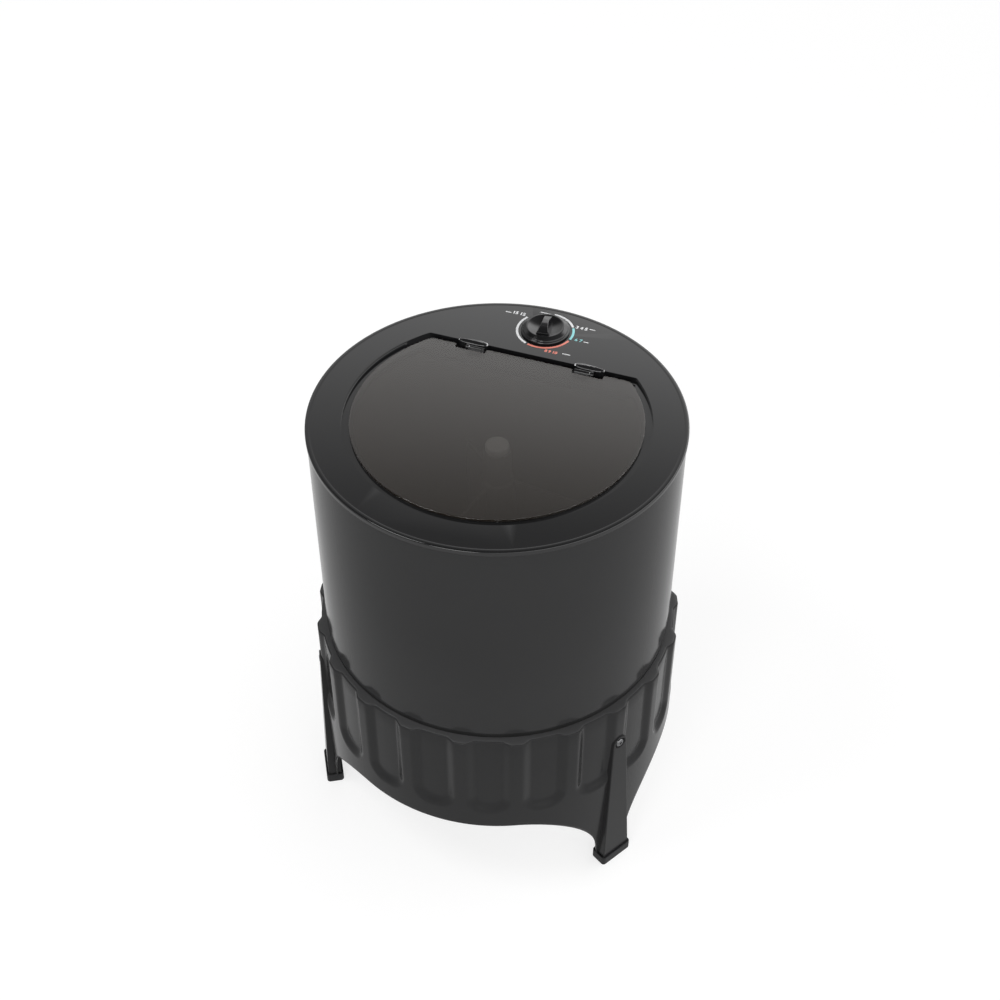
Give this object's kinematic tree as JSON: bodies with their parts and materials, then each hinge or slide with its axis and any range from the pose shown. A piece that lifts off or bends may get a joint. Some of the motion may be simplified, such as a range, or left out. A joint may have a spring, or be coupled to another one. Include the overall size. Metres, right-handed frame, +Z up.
{
  "type": "washing machine",
  "caption": "Small round top-loading washing machine with a smoked flat lid, a timer knob on its deck and a fluted base on short legs.",
  "frame": {"origin": "point of the floor under the drum's axis", "axes": "+Z up; the front is -Y; the knob and the lid's hinges are at the rear, +Y; +X is on the right seen from the front"},
  "size_m": [0.54, 0.554, 0.723],
  "materials": {
    "base_black": "gloss",
    "drum_black": "gloss",
    "deck_black": "gloss",
    "lid_smoke": "polished",
    "knob_black": "gloss",
    "rubber_black": "matte",
    "tub_white": "satin",
    "agitator_white": "satin",
    "zinc_steel": "satin",
    "plate_steel": "satin",
    "cast_aluminium": "satin",
    "motor_paint": "satin",
    "motor_core": "satin",
    "bronze": "satin",
    "grey_plastic": "satin"
  },
  "bodies": {
    "cabinet": {"skirt_front": "base_black", "skirt_right": "base_black", "skirt_left": "base_black", "base_legs": "base_black", "seat_pan": "base_black", "rubber_feet": "rubber_black", "leg_brackets": "zinc_steel", "leg_screws": "zinc_steel", "tab_screws": "zinc_steel", "drum_seat_ring": "base_black", "outer_drum": "drum_black", "drum_screws": "zinc_steel", "wash_tub": "tub_white", "tub_gasket": "rubber_black", "top_deck": "deck_black", "deck_screws": "zinc_steel", "lid_bumpers": "rubber_black", "hinge_bases": "deck_black", "hinge_pins": "zinc_steel", "hinge_screws": "zinc_steel", "bearing_housing": "cast_aluminium", "shaft_bushes": "bronze", "shaft_seal": "rubber_black", "housing_screws": "zinc_steel", "drive_belt": "rubber_black", "motor_plate": "plate_steel", "plate_screws": "zinc_steel", "motor_housing": "motor_paint", "motor_stator": "motor_core", "motor_bearings": "bronze", "motor_bushes": "rubber_black", "motor_bolts": "zinc_steel", "motor_nuts": "zinc_steel", "run_capacitor": "cast_aluminium", "capacitor_clip": "zinc_steel", "drain_strainer": "grey_plastic", "drain_elbow": "grey_plastic", "drain_spigot": "grey_plastic", "spigot_nut": "grey_plastic", "drain_hose": "rubber_black", "hose_clamps": "zinc_steel", "cable_gland": "grey_plastic", "gland_nut": "grey_plastic", "timer_bracket": "zinc_steel", "timer_body": "grey_plastic", "timer_screws": "zinc_steel"},
    "lid": {"lid_panel": "lid_smoke", "hinge_leaves": "deck_black"},
    "knob": {"timer_knob": "knob_black", "timer_spindle": "zinc_steel"},
    "agitator": {"agitator": "agitator_white", "agitator_cap": "agitator_white", "agitator_shaft": "zinc_steel", "agitator_screw": "zinc_steel", "thrust_collar": "zinc_steel", "large_pulley": "cast_aluminium", "pulley_nut": "zinc_steel"},
    "rotor": {"motor_rotor": "motor_core", "small_pulley": "cast_aluminium"}
  },
  "joints": [
    {"name": "lid_hinge", "type": "hinge", "parent": "cabinet", "child": "lid", "pos_m": [0, 0.131, 0.7026], "axis": [-1, 0, 0], "range_deg": [0, 100]},
    {"name": "knob_turn", "type": "hinge", "parent": "cabinet", "child": "knob", "pos_m": [0, 0.2015, 0.7056], "axis": [0, 0, -1], "range_deg": [0, 315]},
    {"name": "agitator_spin", "type": "hinge", "parent": "cabinet", "child": "agitator", "pos_m": [0, 0, 0.212], "axis": [0, 0, 1], "continuous": true},
    {"name": "motor_spin", "type": "hinge", "parent": "cabinet", "child": "rotor", "pos_m": [0, 0.132, 0.212], "axis": [0, 0, 1], "continuous": true}
  ],
  "couplings": [
    {"joint": "motor_spin", "follows": "agitator_spin", "ratio": 5.1111}
  ]
}
